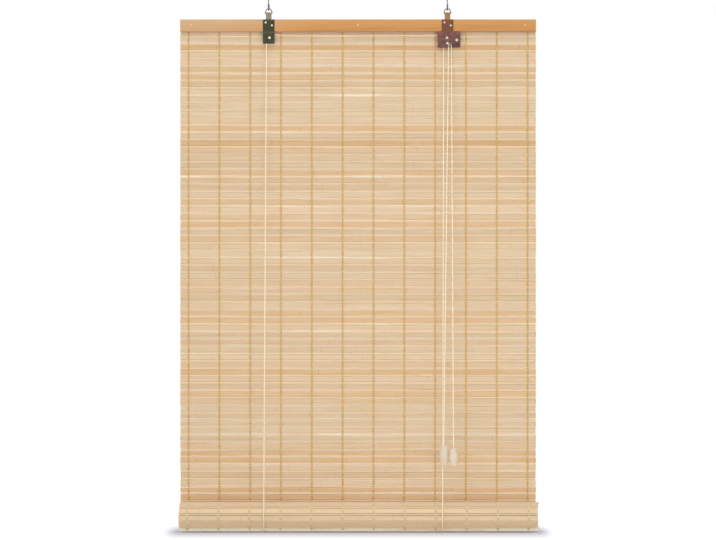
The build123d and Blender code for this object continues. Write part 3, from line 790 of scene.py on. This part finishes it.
# Pull cords, from the lock pulley through the lock and down to the tassels
left_end = (0.1912, TASSEL_Y, -1.0190)
left_pull = [
    transfer[-1],
    (LOCK_EXITS[0] + 0.0016, FRONT_GROOVE_Y, -0.1175),
    (LOCK_EXITS[0], FRONT_GROOVE_Y, LOCK_FOOT_Z),
    (0.2031, -0.0037, -0.1420),
    left_end,
]
right_end = (0.2129, TASSEL_Y, -1.0255)
right_pull = [
    LOCK_PULLEY,
    (LOCK_AXLE_X - WRAP_RADIUS, BACK_GROOVE_Y, AXLE_Z + BESIDE),
    (LOCK_AXLE_X - BESIDE, BACK_GROOVE_Y, OVER_Z),
    (LOCK_AXLE_X + BESIDE, BACK_GROOVE_Y, OVER_Z),
    (LOCK_AXLE_X + WRAP_RADIUS, BACK_GROOVE_Y, AXLE_Z + BESIDE),
    (LOCK_EXITS[1], BACK_GROOVE_Y, LOCK_FOOT_Z),
    (0.2100, 0.0002, -0.1420),
    right_end,
]
for name, pull, end, length in (
    ("left", left_pull, left_end, LEFT_PULL_LENGTH),
    ("right", right_pull, right_end, RIGHT_PULL_LENGTH),
):
    line = cord_piece(f"{name}_pull_line", pull, f"{name}_pull_cord")
    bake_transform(line)

# Carried-over CAD nodes get their finishes
for material, nodes in (
    (PINE, ("head_rail", "back_strip", "bottom_batten")),
    (OLIVE_STEEL, ("left_bracket",)),
    (BROWN_STEEL, ("lock_bracket",)),
    (ZINC_WIRE, ("screw_hooks", "hanging_rings", "cord_staples")),
    (BRIGHT_STEEL, ("bracket_rivets", "axle_rivets", "left_pulley", "lock_pulley", "lock_roller", "lock_cam")),
    (DULL_NAIL, ("rail_nails",)),
    (CORD_YARN, ("left_tassel_knot", "right_tassel_knot")),
    (POLYTHENE, ("left_tassel", "right_tassel")),
):
    for node in nodes:
        finish(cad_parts[node], material)

# Stage


def seen_straight(tree):
    """Whether a ray comes from the camera, straight, through something clear or off something shiny."""
    seen = add_node(tree, "ShaderNodeLightPath").outputs
    straight = add_node(
        tree, "ShaderNodeMath", {0: seen["Is Camera Ray"], 1: seen["Is Transmission Ray"]}, operation="MAXIMUM"
    ).outputs[0]
    return add_node(
        tree, "ShaderNodeMath", {0: straight, 1: seen["Is Glossy Ray"]}, operation="MAXIMUM"
    ).outputs[0]


# Floor just under the roll. The camera sees a painted shadow on it, grey at the roll, and white glow away from
# it;
# to the light that bounces off it, it is white.
deselect()
bpy.ops.mesh.primitive_plane_add(size=FLOOR_SIZE, location=(0, FLOOR_BACK, cad_low[2] - FLOOR_DROP))
bpy.ops.object.transform_apply(location=True)
floor = named("floor")
floor_material, tree, shader = blank_material("white_floor")
shader.inputs["Roughness"].default_value = 0.9
place = add_node(tree, "ShaderNodeTexCoord").outputs["Object"]
parts = add_node(tree, "ShaderNodeSeparateXYZ", {0: place}).outputs
depth = add_node(tree, "ShaderNodeMath", {0: parts["Y"], 1: -ROLL_Y}, operation="ADD").outputs[0]
aside = add_node(tree, "ShaderNodeMath", {0: parts["X"]}, operation="ABSOLUTE").outputs[0]
aside = add_node(tree, "ShaderNodeMath", {0: aside, 1: SLAT_LENGTH / 2}, operation="SUBTRACT").outputs[0]
aside = add_node(tree, "ShaderNodeMath", {0: aside, 1: 0.0}, operation="MAXIMUM").outputs[0]
aside = add_node(tree, "ShaderNodeMath", {0: aside, 1: SHADOW_END_FADE}, operation="MULTIPLY").outputs[0]
away = add_node(tree, "ShaderNodeCombineXYZ", {0: aside, 1: depth}).outputs[0]
away = add_node(tree, "ShaderNodeVectorMath", {0: away}, operation="LENGTH").outputs["Value"]
# Painted shadow: the glow falls off towards the roll, so the floor's grey shows there
glow_with_painted_shadow = add_node(
    tree, "ShaderNodeMapRange",
    {
        "Value": away, "From Min": SHADOW_REACH[0], "From Max": SHADOW_REACH[1],
        "To Min": FLOOR_GLOW[0], "To Max": FLOOR_GLOW[1],
    },
).outputs[0]
straight = seen_straight(tree)
# Painted shadow: to the camera the floor's colour is a bluish grey
grey = add_node(
    tree, "ShaderNodeMix", {0: straight, 6: linear("#F4F4F4"), 7: linear("#D6DAE4")}, data_type="RGBA"
).outputs[2]
tree.links.new(grey, shader.inputs["Base Color"])
glow_with_painted_shadow = add_node(tree, "ShaderNodeMath", {0: glow_with_painted_shadow, 1: straight}, operation="MULTIPLY").outputs[0]
shader.inputs["Emission Color"].default_value = linear("#FFFFFF")
tree.links.new(glow_with_painted_shadow, shader.inputs["Emission Strength"])
floor.data.materials.append(floor_material)

# A white room, dimmer as a lamp than the camera sees it
world = bpy.data.worlds.new("white_room")
bpy.context.scene.world = world
world.use_nodes = True
tree = world.node_tree
level = add_node(
    tree, "ShaderNodeMapRange",
    {"Value": seen_straight(tree), "To Min": ROOM_LEVEL[0], "To Max": ROOM_LEVEL[1]},
).outputs[0]
tree.links.new(level, tree.nodes["Background"].inputs["Strength"])
tree.nodes["Background"].inputs["Color"].default_value = linear("#FFFFFF")


def softbox(name, place, aim, size, power):
    """A square area lamp that faces a point."""
    deselect()
    bpy.ops.object.light_add(type="AREA", location=place)
    lamp = bpy.context.object
    lamp.name = name
    lamp.data.size = size
    lamp.data.energy = power
    lamp.rotation_euler = (Vector(aim) - Vector(place)).to_track_quat("-Z", "Y").to_euler()


softbox("front_softbox", (-1.2, -3.2, 1.2), (0, 0, -0.6), 2.2, 30)
softbox("top_softbox", (0.4, -1.0, 2.2), (0, 0, -0.6), 1.8, 18)
softbox("low_softbox", (0.4, -1.8, -1.0), (0, 0, -1.18), 0.9, 7)

bpy.ops.object.camera_add(location=CAMERA_PLACE, rotation=(math.pi / 2, 0, 0))
camera = bpy.context.object
camera.data.sensor_width = SENSOR_WIDTH
camera.data.lens = CAMERA_LENS
camera.data.clip_end = CLIP_END
bpy.context.scene.camera = camera
bpy.context.scene.view_settings.view_transform = "Standard"
